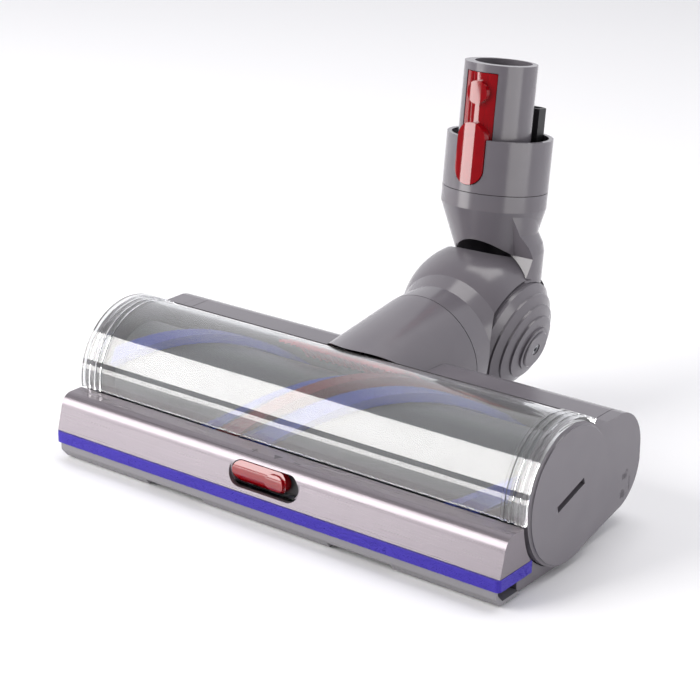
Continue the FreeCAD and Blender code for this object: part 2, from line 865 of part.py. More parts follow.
def make_brush():
    inner = "core_radius - core_wall"
    core = turned("brush_core", [
        ("-core_half", inner),
        ("core_half", inner),
        ("core_half", "core_radius"),
        ("-core_half", "core_radius"),
    ])
    piece("brush_core", core, "brush")
    plug = turned("brush_end_plug", [
        ("core_half - plug_depth", "spindle_radius + run_gap"),
        ("core_half + 1", "spindle_radius + run_gap"),
        ("core_half + 1", "core_radius"),
        ("core_half + 0.1", "core_radius"),
        ("core_half + 0.1", f"{inner} - 0.1"),
        ("core_half - plug_depth", f"{inner} - 0.1"),
    ])
    piece("brush_end_plug", plug, "brush")
    end = "-motor_start + motor_long + gear_long"
    dog = turned("drive_dog", [
        (f"{end} + 1.5", "shaft_radius + run_gap"),
        (f"{end} + shaft_long", "shaft_radius + run_gap"),
        (f"{end} + shaft_long", f"{inner} - 0.1"),
        (f"{end} + 1.5", f"{inner} - 0.1"),
    ])
    piece("drive_dog", dog, "brush")


def strip_shape(turn, wide, radius):
    """One row of pile: its section carried along a helix round the core."""
    inner = size("core_radius + strip_gap")
    outer = size(radius)
    half = size(wide) / 2
    top = half * size("strip_taper")
    length = 2 * size("core_half")
    steps = int(size("strip_steps"))
    sections = []
    for step in range(steps + 1):
        along = length * (step / steps - 0.5)
        angle = math.radians(size(turn) + 360 * along / size("brush_pitch"))
        out = Vector(0, -math.cos(angle), math.sin(angle))
        side = Vector(0, math.sin(angle), math.cos(angle))
        corners = [out * inner - side * half, out * outer - side * top,
                   out * outer + side * top, out * inner + side * half]
        corners = [corner + Vector(along, 0, 0) for corner in corners]
        sections.append(Part.makePolygon(corners + corners[:1]))
    return Part.makeLoft(sections, True, False)


def make_strips():
    """Three rows of pile side by side and one row opposite them."""
    for label, row, radius in (("blue_strip_1", "lone", "blue_radius"),
                               ("blue_strip_2", "rear", "blue_radius"),
                               ("red_strip", "middle", "red_radius"),
                               ("blue_strip_3", "front", "blue_radius")):
        strip = doc.addObject("Part::Feature", label + "_pile")
        strip.Shape = strip_shape(row + "_turn", row + "_wide", radius)
        piece(label, strip, "brush")


def make_motor():
    start = "-motor_start"
    motor = turned("brush_motor", [
        (start, "0"),
        (f"{start} + motor_long", "0"),
        (f"{start} + motor_long", "motor_radius"),
        (f"{start}", "motor_radius"),
    ])
    piece("brush_motor", motor, "brush")
    end = f"{start} + motor_long + 0.1"
    gear = turned("gearbox", [
        (end, "0"),
        (f"{end} + gear_long + shaft_long - 1", "0"),
        (f"{end} + gear_long + shaft_long - 1", "shaft_radius"),
        (f"{end} + gear_long - 0.1", "shaft_radius"),
        (f"{end} + gear_long - 0.1", "motor_radius"),
        (end, "motor_radius"),
    ])
    piece("gearbox", gear, "brush")


# Neck pipe and knuckle

def pipe_half(label, low, high):
    """One half of the neck pipe, saddled to the brush chamber."""
    outer = rod("pipe_radius", "-pipe_reach", "pipe_reach - pipe_seam - seam_gap", "y")
    inner = rod("pipe_radius - pipe_wall", "-1.1*pipe_reach", "1.1*pipe_reach", "y")
    side = block(("-pipe_radius - 1", "-pipe_reach - 1", low), ("pipe_radius + 1", "0", high))
    tube = place(both(minus(outer, inner), side), "pipe")
    gap = "chamber_radius + chamber_wall + saddle_gap"
    saddle = rod(gap, "-2*pipe_radius", "4*pipe_radius", "x", at=("0", "brush_axis_z"))
    piece(label, minus(tube, saddle))


def make_knuckle():
    bulb = new_body("knuckle_bulb")
    profile = new_sketch(bulb, "XY_Plane")
    draw(profile, [
        ("0", "-pipe_seam"),
        ("pipe_radius", "-pipe_seam"),
        ("crease_radius", "-crease_y"),
        ("sqrt(ball_radius^2 - blend_y^2)", "-blend_y", "ball_radius", "ccw"),
        ("0", "ball_radius"),
    ])
    spin(bulb, "Revolution", profile, "V_Axis")
    deep = "ball_side - recess_depth"
    beside = block((f"{deep} - ball_wall", "-2*ball_radius", "-2*ball_radius"),
                   ("2*ball_radius", "2*ball_radius", "2*ball_radius"))
    hollow = minus(solid("Sphere", Radius="ball_radius - ball_wall"), beside)
    hollow = minus(hollow, block(("-ball_radius", "-ball_radius", "-ball_radius"),
                                 ("ball_radius", "-bulkhead_y", "ball_radius")))
    bore = rod("pipe_radius - pipe_wall - 1.2", "-pipe_seam - 1", "pipe_seam - bulkhead_y - ball_wall + 1", "y")
    socket = rod("pipe_radius - pipe_wall", "-pipe_seam - 1", "sleeve_grip + 1", "y")
    port = rod("hose_radius + run_gap", "-bulkhead_y - 2*ball_wall", "3*ball_wall", "y")
    slot = plus(rod("slot_radius", "-slot_low", "2*ball_radius", "z", at=("-slot_across", "slot_y")),
                block(("-slot_across - slot_radius", "slot_y", "-slot_low"),
                      ("slot_radius - slot_across", "2*ball_radius", "2*ball_radius")))
    recess = rod("recess_radius", deep, "ball_radius", "x")
    boss = rod("pivot_radius", f"{deep} - ball_wall/2", "ball_wall/2 + disc_gap + disc_wall - 0.1", "x")
    screw = rod("screw_shank + run_gap", "0", "ball_radius", "x")
    shell = minus(plus(minus(bulb, recess, hollow, bore, socket, port, slot), boss), screw)
    piece("knuckle_shell", shell, "ball")
    sleeve_radius = "pipe_radius - pipe_wall - run_gap"
    sleeve = minus(rod(sleeve_radius, "-pipe_seam - sleeve_long", "sleeve_long + sleeve_grip", "y"),
                   rod(f"{sleeve_radius} - sleeve_wall", "-pipe_seam - sleeve_long - 1",
                       "sleeve_long + sleeve_grip + 2", "y"))
    piece("swivel_sleeve", sleeve, "pipe")


def make_hose():
    """The bendy hose: straight out of the bulkhead, then a bend up into the stem of the upper neck."""
    turn = "(90 - pipe_rise - neck_lean)"
    reach = "(neck_z - ball_z + stem_low*cos(neck_lean) - yoke_foot_back*sin(neck_lean))"
    back = "(stem_low*sin(neck_lean) + yoke_foot_back*cos(neck_lean))"
    ahead = f"({back}*cos(neck_lean) - {reach}*sin(neck_lean))/cos(neck_lean + pipe_rise)"
    start = f"({ahead} - hose_bend*tan({turn}/2))"
    straight = minus(rod("hose_radius", "-bulkhead_y - ball_wall", f"bulkhead_y + ball_wall + {start}", "y"),
                     rod("hose_radius - hose_wall", "-bulkhead_y - ball_wall - 1",
                         f"bulkhead_y + ball_wall + {start} + 2", "y"))
    bends = []
    for radius in ("hose_radius", "hose_radius - hose_wall"):
        bend = solid("Torus", Radius1="hose_bend", Radius2=radius, Angle3=turn)
        bend.Placement = Placement(Vector(), Rotation(Vector(0, 1, 0), Vector(0, 0, -1), Vector(-1, 0, 0)).inverted())
        bend.Placement = Placement(Vector(), Rotation(Vector(0, 0, -1), Vector(0, 1, 0), Vector(1, 0, 0)))
        bind(bend, "Placement.Base.y", start)
        bind(bend, "Placement.Base.z", "hose_bend")
        bends.append(bend)
    piece("flex_hose", plus(straight, minus(*bends)), "pipe")


# Upper neck

def make_yoke():
    """Sleeve, arm, hinge disc and stem of the upper neck in one moulding."""
    levels = (
        ("yoke_foot_back", "stem_low", "stem_radius"),
        ("yoke_foot_back", "yoke_foot", "yoke_foot_radius"),
        ("collar_back", "yoke_shoulder", "collar_radius"),
        ("collar_back", "yoke_top", "collar_radius"),
    )
    lofts = []
    for inset in (0, size("yoke_wall")):
        rings = []
        for number, (back, level, radius) in enumerate(levels):
            extra = {0: -1, 3: -size("yoke_wall")}.get(number, 0) if inset else 0
            ring = Part.Circle(Vector(0, size(back), size(level) + extra), Vector(0, 0, 1), size(radius) - inset)
            rings.append(Part.Wire(ring.toShape()))
        loft = doc.addObject("Part::Feature", "yoke_sleeve")
        loft.Shape = Part.makeLoft(rings, True, True)
        lofts.append(loft)
    turned_arm = new_body("yoke_arm_round")
    outline = new_sketch(turned_arm, "XZ_Plane")
    draw(outline, [
        ("0", "arm_low"),
        ("arm_radius", "arm_low"),
        ("arm_radius", "arm_shoulder"),
        ("arm_blend_radius", "arm_blend"),
        ("arm_root_radius", "arm_neck"),
        ("arm_root_radius", "arm_top"),
        ("0", "arm_top"),
    ])
    spin(turned_arm, "Revolution", outline, "V_Axis")
    bind(turned_arm, "Placement.Base.x", "arm_side")
    bind(turned_arm, "Placement.Base.y", "arm_back")
    arm_side = new_body("yoke_arm_side")
    face = new_sketch(arm_side, "YZ_Plane", "arm_inside")
    draw(face, [
        ("arm_top_y", "arm_top"),
        ("arm_bend_y", "arm_bend"),
        ("arm_low_y", "arm_low"),
        ("arm_rear_y", "arm_low"),
        ("arm_rear_y", "arm_top"),
    ])
    extrude(arm_side, "Pad", face, "2*arm_radius")
    inner = "(ball_side - recess_depth + disc_gap)"
    dome_rim = "dome_radius*sin(hub_rim_angle)"
    ball = minus(solid("Sphere", Radius="ball_radius + edge_gap"),
                 rod("recess_radius - edge_gap", inner, "2*ball_radius", "x"))
    dome = rod(f"{dome_rim} + edge_gap", f"{inner} + disc_wall", "2*ball_radius", "x")
    disc = rod("disc_radius", inner, "disc_wall", "x")
    pivot = rod("pivot_radius + run_gap", "0", "ball_radius", "x")
    arch = rod("arch_radius", "-2*collar_radius", "2*collar_radius + arch_back", "y",
               at=("arch_side", "arch_top - arch_radius"))
    bore = rod("tube_bore", "yoke_shoulder", "yoke_top", "z", at=("0", "tube_bore_back"))
    cheek = minus(solid("Sphere", Radius="ball_radius + edge_gap"),
                  block(("-2*ball_radius", "-2*ball_radius", "-2*ball_radius"),
                        ("slot_radius - slot_across - slot_ease", "2*ball_radius", "2*ball_radius")))
    sleeve = minus(place(minus(lofts[0], arch, bore), "neck"), place(cheek, "ball"))
    arm = minus(place(both(turned_arm, arm_side), "neck"), place(ball, "ball"), place(dome, "ball"))
    limb = plus(arm, place(disc, "ball"))
    piece("yoke", minus(plus(sleeve, limb), place(lofts[1], "neck"), place(pivot, "ball")))


def drive_recess(axis, start, length, at=("0", "0")):
    """Six-lobed hole in a screw head: six small rods round a middle one."""
    lobes = [rod("screw_lobe_ring", start, length, axis, at)]
    for number in range(6):
        spot = (f"{at[0]} + screw_lobe_ring*cos({number}*60)", f"{at[1]} + screw_lobe_ring*sin({number}*60)")
        lobes.append(rod("screw_lobe", start, length, axis, spot))
    return plus(*lobes)


def make_hub():
    """The stepped dome that covers the hinge on the arm, with its cap."""
    base = "(ball_side - recess_depth + disc_gap + disc_wall + 0.1)"
    rim = "dome_radius*sin(hub_rim_angle)"
    points = [(base, f"{rim} - hub_wall - dome_edge")]
    steps = int(size("hub_steps"))
    for step in range(steps):
        angle = f"(hub_rim_angle - hub_step_angle*{step})"
        radius = f"dome_radius*sin({angle})"
        top = f"dome_radius*cos({angle})"
        points.append((base if step == 0 else f"{top} - hub_riser", radius))
        points.append((top, radius))
    top = "hub_face - 0.9"
    points.append((top, "hub_cap_radius + 0.2"))
    points.append((top, "hub_cap_radius - 2"))
    points.append((f"{top} - hub_wall", "hub_cap_radius - 2"))
    piece("pivot_hub", turned("pivot_hub_blank", points), "ball")
    cap = turned("hub_cap_blank", [
        (f"{top} + 0.1", "screw_head + 0.1"),
        (f"{top} + 0.1", "hub_cap_radius"),
        ("hub_face - cap_lip", "hub_cap_radius"),
        ("hub_face", "hub_cap_radius - cap_lip"),
        ("hub_face", "screw_head + 0.1"),
    ])
    piece("hub_cap", cap, "ball")
    screw = turned("hub_screw_blank", [
        ("ball_side - recess_depth", "0"),
        ("hub_face - cap_lip", "0"),
        ("hub_face - cap_lip", "screw_head"),
        ("hub_face - cap_lip - screw_high", "screw_head"),
        ("hub_face - cap_lip - screw_high", "screw_shank"),
        ("ball_side - recess_depth", "screw_shank"),
    ])
    piece("hub_screw", minus(screw, drive_recess("x", "hub_face - cap_lip - screw_drive", "2*screw_drive")), "ball")


def make_collar():
    axis = ("0", "collar_back")
    cup = minus(rod("collar_radius", "collar_low", "collar_top - collar_low", "z", at=axis),
                rod("collar_radius - collar_wall", "collar_low + collar_floor", "collar_top", "z", at=axis),
                rod("tube_radius + 0.1", "0", "2*collar_top", "z"),
                block(("-button_half - latch_gap", "-2*tube_radius", "button_low + button_half"),
                      ("button_half + latch_gap", "0", "2*collar_top")),
                rod("button_half + latch_gap", "-2*tube_radius", "2*tube_radius", "y",
                    at=("0", "button_low + button_half")))
    piece("upper_collar", cup, "neck")
    half = "latch_half + latch_gap"
    tube = minus(rod("tube_radius", "yoke_top + 0.1", "tube_top - yoke_top - 0.1", "z"),
                 rod("tube_bore", "0", "2*tube_top", "z", at=("0", "tube_bore_back")),
                 both(minus(rod("2*tube_radius", "button_low - latch_gap", "latch_top - button_low + 2*latch_gap", "z"),
                            rod("tube_radius - latch_deep", "0", "2*tube_top", "z")),
                      block((f"-({half})", "-3*tube_radius", "0"), (half, "0", "2*tube_top"))))
    pin = rod("latch_pin_radius + run_gap", "-2*tube_radius", "4*tube_radius", "x", at=("-latch_pin_y", "latch_pivot"))
    piece("inner_tube", minus(tube, pin), "neck")


def make_latch():
    """Lever sunk in the tube's front, with the round catch pad and the capsule button."""
    skin = "tube_radius - latch_sink"
    strip = both(minus(rod(skin, "latch_low", "latch_top - latch_low", "z"),
                       rod(f"{skin} - latch_wall", "0", "2*tube_top", "z")),
                 block(("-latch_half", "-2*tube_radius", "0"), ("latch_half", "0", "2*tube_top")))
    body = new_body("latch_button")
    outline = new_sketch(body, "XZ_Plane", "tube_radius - latch_wall")
    end = "button_half"
    draw(outline, [
        (f"-{end}", f"button_low + {end}", end, "ccw"),
        (end, f"button_low + {end}"),
        (end, f"button_top - {end}", end, "ccw"),
        (f"-{end}", f"button_top - {end}"),
    ])
    extrude(body, "Pad", outline, "button_front - tube_radius + latch_wall")
    inside = rod("tube_radius - latch_sink - latch_wall", "0", "2*tube_top", "z")
    lever = plus(strip, minus(body, inside))
    pad = minus(rod("catch_radius", "-tube_radius - catch_rise", "catch_rise + latch_wall", "y",
                    at=("0", "catch_level")), inside)
    lug = block(("-latch_half", "-tube_radius", "latch_pivot - lug_high/2"),
                ("latch_half", "-tube_radius + latch_deep - latch_gap", "latch_pivot + lug_high/2"))
    hole = rod("latch_pin_radius + run_gap", "-latch_half - 1", "2*latch_half + 2", "x",
               at=("-latch_pin_y", "latch_pivot"))
    piece("latch_lever", minus(plus(lever, pad, both(lug, rod(skin, "0", "2*tube_top", "z"))), hole), "neck")
    pin = rod("latch_pin_radius", "-latch_pin_half", "2*latch_pin_half", "x", at=("-latch_pin_y", "latch_pivot"))
    piece("latch_pin", place(pin, "head"), "neck")
    spring = new_body("latch_spring")
    leaf = new_sketch(spring, "YZ_Plane")
    back = "-tube_radius + latch_deep - run_gap"
    front = f"-({skin}) + latch_wall + leaf_wall"
    draw(leaf, [
        (back, "leaf_low"),
        (f"{front} + leaf_wall", "leaf_low + leaf_high/2"),
        (back, "leaf_low + leaf_high"),
        (f"{back} - leaf_wall", "leaf_low + leaf_high"),
        (front, "leaf_low + leaf_high/2"),
        (f"{back} - leaf_wall", "leaf_low"),
    ])
    extrude(spring, "Pad", leaf, "2*leaf_half", "Symmetric")
    piece("latch_spring", spring, "neck")


def make_plug():
    """Electrical connector that stands behind the tube in the collar."""
    low = "collar_low + collar_floor + 0.1"
    shell = minus(block(("-plug_half", "plug_front", low), ("plug_half", "plug_rear", "plug_top")),
                  block(("-plug_half + plug_wall", "plug_front + plug_wall", "plug_top - 8"),
                        ("plug_half - plug_wall", "plug_rear - plug_wall", "plug_top + 1")))
    inside = rod("collar_radius - collar_wall - edge_gap", "0", "2*tube_top", "z", at=("0", "collar_back"))
    piece("connector_block", both(shell, inside), "neck")
    middle = "(plug_front + plug_rear)/2"
    pins = [rod("contact_radius", "plug_top - 7.9", "6", "z", at=(across, middle))
            for across in ("-contact_step/2", "contact_step/2")]
    group = doc.addObject("Part::Compound", "pins")
    group.Links = pins
    piece("contact_pins", group, "neck")


# Wheels, comb, board, seal and screws

def make_wheels():
    labels = ("rear_wheel_right", "rear_wheel_left", "front_roller_right", "front_roller_left")
    pins = []
    for label, (centre, back, radius, wide, axle) in zip(labels, wheel_places()):
        start = f"{centre} - {wide}/2"
        bore = rod(f"{axle} + run_gap", f"{start} - 1", f"{wide} + 2", "x", at=(back, radius))
        piece(label, minus(rod(radius, start, wide, "x", at=(back, radius)), bore))
        pins.append(rod(axle, f"{start} - well_gap - rib_wall", f"{wide} + 2*well_gap + 2*rib_wall", "x",
                        at=(back, radius)))
    group = doc.addObject("Part::Compound", "pins")
    group.Links = pins
    piece("wheel_axles", group)


def make_sole_screws():
    screws = []
    for across in SCREW_PLACES:
        spot = (across, "-screw_y")
        low = "floor_gap + 0.1"
        head = plus(rod("screw_head", low, "sole_wall - 0.1", "z", at=spot),
                    rod("screw_shank", low, "screw_top - floor_gap - 0.1", "z", at=spot))
        screws.append(minus(head, drive_recess("z", "0", f"{low} + screw_drive", spot)))
    group = doc.addObject("Part::Compound", "screws")
    group.Links = screws
    piece("sole_screws", group)


def make_comb():
    """Curved rail in the chamber that carries a row of thin slanted vanes."""
    inner = "chamber_radius - comb_deep"
    body = new_body("hair_comb")
    rail = new_sketch(body, "YZ_Plane")
    skin = "window_radius - window_wall - 0.1"
    draw(rail, [
        round_point(f"{skin} - 0.5", "comb_low"),
        round_point(skin, "comb_low") + (skin, "ccw"),
        round_point(skin, "comb_high"),
        round_point(f"{skin} - 0.5", "comb_high") + (f"{skin} - 0.5", "cw"),
    ])
    extrude(body, "Pad", rail, "2*comb_half", "Symmetric")
    vane = new_sketch(body, "YZ_Plane", "-comb_half")
    draw(vane, [
        round_point(inner, "comb_low"),
        round_point(f"{skin} - 0.2", "comb_low") + (f"{skin} - 0.2", "ccw"),
        round_point(f"{skin} - 0.2", "comb_high"),
        round_point(inner, "comb_high") + (inner, "cw"),
    ])
    first = extrude(body, "Pad", vane, "vane_wide")
    row = body.newObject("PartDesign::LinearPattern", "comb_row")
    row.Originals = [first]
    row.Direction = (vane, ["N_Axis"])
    bind(row, "Length", "2*comb_half - vane_wide")
    row.Occurrences = int((2 * size("comb_half") - size("vane_wide")) / size("comb_pitch")) + 1
    body.Tip = row
    piece("hair_comb", body, "head")


def make_board():
    board = block(("board_start", "roof_front", "board_z"), ("board_end", "rear_y - cover_wall - 3", "board_z + board_wall"))
    chip = block(("board_start + 10", "roof_front + 6", "board_z + board_wall/2"),
                 ("board_start + 22", "roof_front + 18", "board_z + board_wall + 2.5"))
    coil = rod("4", "board_z + board_wall/2", "9", "z", at=("board_end - 12", "roof_front + 10"))
    piece("control_board", plus(board, chip, coil))


def make_seal():
    ring = solid("Torus", axis="x", Radius1="cap_radius - 4", Radius2="seal_radius")
    bind(ring, "Placement.Base.x", "cap_face_x - cap_depth - seal_radius")
    group = minus(ring, rod("cap_radius", "cap_face_x - cap_depth", "2", "x"))
    piece("end_seal", group, "brush")


make_main_frame()
make_window()
make_sole_plate()
make_felt()
make_nose_bar()
make_slider()
make_rear_cover()
make_rear_pan()
make_left_pod()
make_end_caps()
make_brush()
make_strips()
make_motor()
pipe_half("neck_pipe_upper", "pipe_split + 0.1", "pipe_radius + 1")
pipe_half("neck_pipe_lower", "-pipe_radius - 1", "pipe_split")
make_knuckle()
make_hose()
make_yoke()
make_hub()
make_collar()
make_latch()
make_plug()
make_wheels()
make_sole_screws()
make_comb()
make_board()
make_seal()

doc.recompute()
for thing in doc.Objects:
    if {"Invalid", "Error"} & set(thing.State):
        raise RuntimeError(f"{thing.Label} of {thing.TypeId} failed: {thing.State}")
for thing in PIECES:
    if thing.Shape.isNull() or not thing.Shape.isValid():
        raise RuntimeError(f"{thing.Label} has no valid shape")

os.makedirs("parts", exist_ok=True)
for thing in PIECES:
    thing.Shape.exportStep(f"parts/{thing.Label}.step")
    box = thing.Shape.BoundBox
    print(f"{thing.Label}: {len(thing.Shape.Solids)} solids, {thing.Shape.Volume:.0f} mm3,",
          f"x {box.XMin:.1f} {box.XMax:.1f} y {box.YMin:.1f} {box.YMax:.1f} z {box.ZMin:.1f} {box.ZMax:.1f}")
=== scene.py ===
import math

import bmesh
import bpy
from mathutils import Matrix, Vector


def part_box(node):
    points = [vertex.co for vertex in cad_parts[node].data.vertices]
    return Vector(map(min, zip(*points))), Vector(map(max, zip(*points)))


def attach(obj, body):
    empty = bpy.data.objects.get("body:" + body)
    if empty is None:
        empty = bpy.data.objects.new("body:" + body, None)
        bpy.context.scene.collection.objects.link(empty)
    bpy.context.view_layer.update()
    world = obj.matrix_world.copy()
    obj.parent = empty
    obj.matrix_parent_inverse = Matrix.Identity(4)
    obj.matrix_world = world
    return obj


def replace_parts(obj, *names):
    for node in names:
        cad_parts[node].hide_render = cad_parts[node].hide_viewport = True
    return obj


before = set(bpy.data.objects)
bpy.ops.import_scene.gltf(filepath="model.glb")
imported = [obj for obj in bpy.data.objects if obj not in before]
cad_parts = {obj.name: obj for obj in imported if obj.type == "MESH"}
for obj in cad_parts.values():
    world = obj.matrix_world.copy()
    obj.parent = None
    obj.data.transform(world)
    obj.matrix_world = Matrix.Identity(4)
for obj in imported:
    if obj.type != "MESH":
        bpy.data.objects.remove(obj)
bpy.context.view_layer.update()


# The camera
# It stands in front of the right-hand end and a little above the head, where
# the photograph was taken, with a long lens that keeps the head's lines nearly
# parallel.

MM = 0.001
MIDDLE = 3.3 * MM
TARGET_BEHIND_AXLE = 25.54 * MM
TARGET_HEIGHT = 50 * MM
end_low, end_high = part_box("end_cap")
axle = Vector((MIDDLE, (end_low.y + end_high.y) / 2, (end_low.z + end_high.z) / 2))
look_at = Vector((axle.x, axle.y + TARGET_BEHIND_AXLE, TARGET_HEIGHT))
TURN = math.radians(37.76)
RISE = math.radians(20.76)
ROLL = math.radians(0.07)
DISTANCE = 887.1 * MM
ASIDE = -7.83 * MM
RAISED = 9.41 * MM
FOCAL_PIXELS = 1963.99
FRAME_PIXELS = 700
SENSOR_WIDTH = 36
NEAREST = 10 * MM

towards_camera = Vector((
    math.sin(TURN) * math.cos(RISE), -math.cos(TURN) * math.cos(RISE), math.sin(RISE)))
camera_right = Vector((math.cos(TURN), math.sin(TURN), 0))
camera_up = towards_camera.cross(camera_right)
lens = bpy.data.cameras.new("studio_camera")
lens.sensor_width = SENSOR_WIDTH
lens.lens = FOCAL_PIXELS / FRAME_PIXELS * lens.sensor_width
lens.clip_start = NEAREST
camera = bpy.data.objects.new("studio_camera", lens)
bpy.context.scene.collection.objects.link(camera)
camera.location = (
    look_at + towards_camera * DISTANCE + camera_right * ASIDE + camera_up * RAISED)
axes = Matrix((camera_right, camera_up, towards_camera)).transposed()
camera.rotation_euler = (axes @ Matrix.Rotation(ROLL, 3, "Z")).to_euler()
bpy.context.scene.camera = camera


# The studio
# A white table that ends a little way in front and to the right of the head.
# A large softbox stands high at the front left and a low one beyond the table's
# edge, with a dark gap between them that shows in every curved gloss surface. The
# room is dark in front of the head and white behind it.

def linear(code, alpha=1.0):
    """An sRGB hex colour as linear values."""
    parts = [int(code[i:i + 2], 16) / 255 for i in (0, 2, 4)]
    return [p / 12.92 if p <= 0.04045 else ((p + 0.055) / 1.055) ** 2.4 for p in parts] + [alpha]


def add_node(tree, kind, inputs=None, **settings):
    """One node with its settings, its values and its links."""
    made = tree.nodes.new(kind)
    for name, value in settings.items():
        setattr(made, name, value)
    for name, value in (inputs or {}).items():
        if isinstance(value, bpy.types.NodeSocket):
            tree.links.new(value, made.inputs[name])
        else:
            made.inputs[name].default_value = value
    return made


TABLE_FRONT = -0.50
TABLE_BACK = 4.0
TABLE_LEFT = -3.0
TABLE_RIGHT = 0.55
table_mesh = bpy.data.meshes.new("table")
table_mesh.from_pydata(
    [(TABLE_LEFT, TABLE_FRONT, 0), (TABLE_RIGHT, TABLE_FRONT, 0),
     (TABLE_RIGHT, TABLE_BACK, 0), (TABLE_LEFT, TABLE_BACK, 0)],
    [], [(0, 1, 2, 3)])
table = bpy.data.objects.new("table", table_mesh)
bpy.context.scene.collection.objects.link(table)
table_finish = bpy.data.materials.new("white_laminate")
table_finish.use_nodes = True
table_shader = table_finish.node_tree.nodes["Principled BSDF"]
table_shader.inputs["Base Color"].default_value = linear("f4f4f6")
table_shader.inputs["Roughness"].default_value = 0.45
table_shader.inputs["Specular IOR Level"].default_value = 0.3
table_mesh.materials.append(table_finish)

world = bpy.data.worlds.new("studio_room")
bpy.context.scene.world = world
world.use_nodes = True
room = world.node_tree
room.nodes.clear()
room_side = add_node(room, "ShaderNodeTexCoord")
room_split = add_node(room, "ShaderNodeSeparateXYZ", {"Vector": room_side.outputs["Generated"]})
room_ramp = add_node(room, "ShaderNodeMapRange", {
    "Value": room_split.outputs["Y"], "From Min": -0.35, "From Max": 0.45,
    "To Min": 0.12, "To Max": 1.0}, interpolation_type="SMOOTHSTEP")
room_seen = add_node(room, "ShaderNodeLightPath")
room_level = add_node(room, "ShaderNodeMath", {
    0: room_ramp.outputs["Result"], 1: room_seen.outputs["Is Camera Ray"]}, operation="MAXIMUM")
room_light = add_node(room, "ShaderNodeBackground", {
    "Color": linear("fbfbff"), "Strength": room_level.outputs["Value"]})
add_node(room, "ShaderNodeOutputWorld", {"Surface": room_light.outputs["Background"]})


def softbox(name, place, facing, width, height, radiance):
    """A rectangular lamp whose upper and lower edges are level."""
    lamp = bpy.data.lights.new(name, "AREA")
    lamp.shape = "RECTANGLE"
    lamp.size = width
    lamp.size_y = height
    lamp.energy = radiance * math.pi * width * height
    lamp.color = linear("fffdfb")[:3]
    holder = bpy.data.objects.new(name, lamp)
    bpy.context.scene.collection.objects.link(holder)
    holder.location = axle + Vector(place)
    back = -Vector(facing).normalized()
    side = Vector((0, 0, 1)).cross(back).normalized()
    holder.rotation_euler = Matrix((side, back.cross(side), back)).transposed().to_euler()


softbox("softbox_left", (-0.95, -0.976, 0.683), (0, 0.819, -0.5735), 1.30, 1.06, 7.0)
softbox("softbox_low", (-1.76, -2.32, -0.223), (0.6, 0.8, 0.08), 1.40, 0.62, 6.0)
softbox("softbox_top", (0.10, 0.45, 1.50), (0, -0.25, -1), 1.00, 0.80, 3.6)
softbox("softbox_right", (1.15, -0.10, 0.05), (-1, 0.1, -0.05), 1.10, 0.70, 2.8)
bpy.context.scene.view_settings.view_transform = "Standard"


# The grey mouldings
# Frame, covers, end caps, neck and collars are injection moulded in gloss ABS,
# a mid grey with a breath of purple. The polish is high, with the faint ripple
# that cooling leaves in a thick wall.

def new_finish(name):
    """A material with its shader, and the object coordinates that its patterns follow."""
    finish = bpy.data.materials.new(name)
    finish.use_nodes = True
    tree = finish.node_tree
    place = add_node(tree, "ShaderNodeTexCoord")
    return finish, tree, tree.nodes["Principled BSDF"], place.outputs["Object"]


def dress(finish, *nodes):
    """The CAD nodes that wear a finish."""
    for name in nodes:
        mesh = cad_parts[name].data
        mesh.materials.clear()
        mesh.materials.append(finish)


abs_grey, tree, shader, place = new_finish("moulded_abs_gloss_grey")
ripple = add_node(tree, "ShaderNodeTexNoise", {
    "Vector": place, "Scale": 1 / (14 * MM), "Detail": 2.0, "Roughness": 0.4})
tone = add_node(tree, "ShaderNodeMix", {
    "Factor": ripple.outputs["Fac"], "A": linear("67636a"), "B": linear("6e6a70")},
    data_type="RGBA")
grain = add_node(tree, "ShaderNodeTexNoise", {
    "Vector": place, "Scale": 1 / (0.6 * MM), "Detail": 3.0, "Roughness": 0.5})
polish = add_node(tree, "ShaderNodeMapRange", {
    "Value": grain.outputs["Fac"], "From Min": 0.3, "From Max": 0.7,
    "To Min": 0.16, "To Max": 0.24})
skin = add_node(tree, "ShaderNodeBump", {
    "Height": grain.outputs["Fac"], "Strength": 0.12, "Distance": 0.02 * MM})
tree.links.new(tone.outputs["Result"], shader.inputs["Base Color"])
tree.links.new(polish.outputs["Result"], shader.inputs["Roughness"])
tree.links.new(skin.outputs["Normal"], shader.inputs["Normal"])
shader.inputs["IOR"].default_value = 1.53
dress(abs_grey, "main_frame", "rear_cover_right", "rear_cover_left", "left_end_pod", "end_cap",
      "left_end_cap", "neck_pipe_upper", "neck_pipe_lower", "knuckle_shell", "yoke", "pivot_hub",
      "hub_cap", "upper_collar", "inner_tube")


# The sole plate and rear pan
# Moulded in a lighter grey polypropylene with a fine spark-eroded texture that
# scatters the light, screwed up from below.

matt_grey, tree, shader, place = new_finish("moulded_polypropylene_spark_grey")
spark = add_node(tree, "ShaderNodeTexNoise", {
    "Vector": place, "Scale": 1 / (0.35 * MM), "Detail": 4.0, "Roughness": 0.6})
tone = add_node(tree, "ShaderNodeMix", {
    "Factor": spark.outputs["Fac"], "A": linear("7b797d"), "B": linear("8b898d")},
    data_type="RGBA")
skin = add_node(tree, "ShaderNodeBump", {
    "Height": spark.outputs["Fac"], "Strength": 0.35, "Distance": 0.05 * MM})
tree.links.new(tone.outputs["Result"], shader.inputs["Base Color"])
tree.links.new(skin.outputs["Normal"], shader.inputs["Normal"])
shader.inputs["Roughness"].default_value = 0.55
shader.inputs["IOR"].default_value = 1.49
dress(matt_grey, "sole_plate", "rear_pan")


# The nose bar
# An ABS moulding with a satin metallised coat, brushed along its length, so the
# softbox spreads across its rounded edge in one broad pale band.

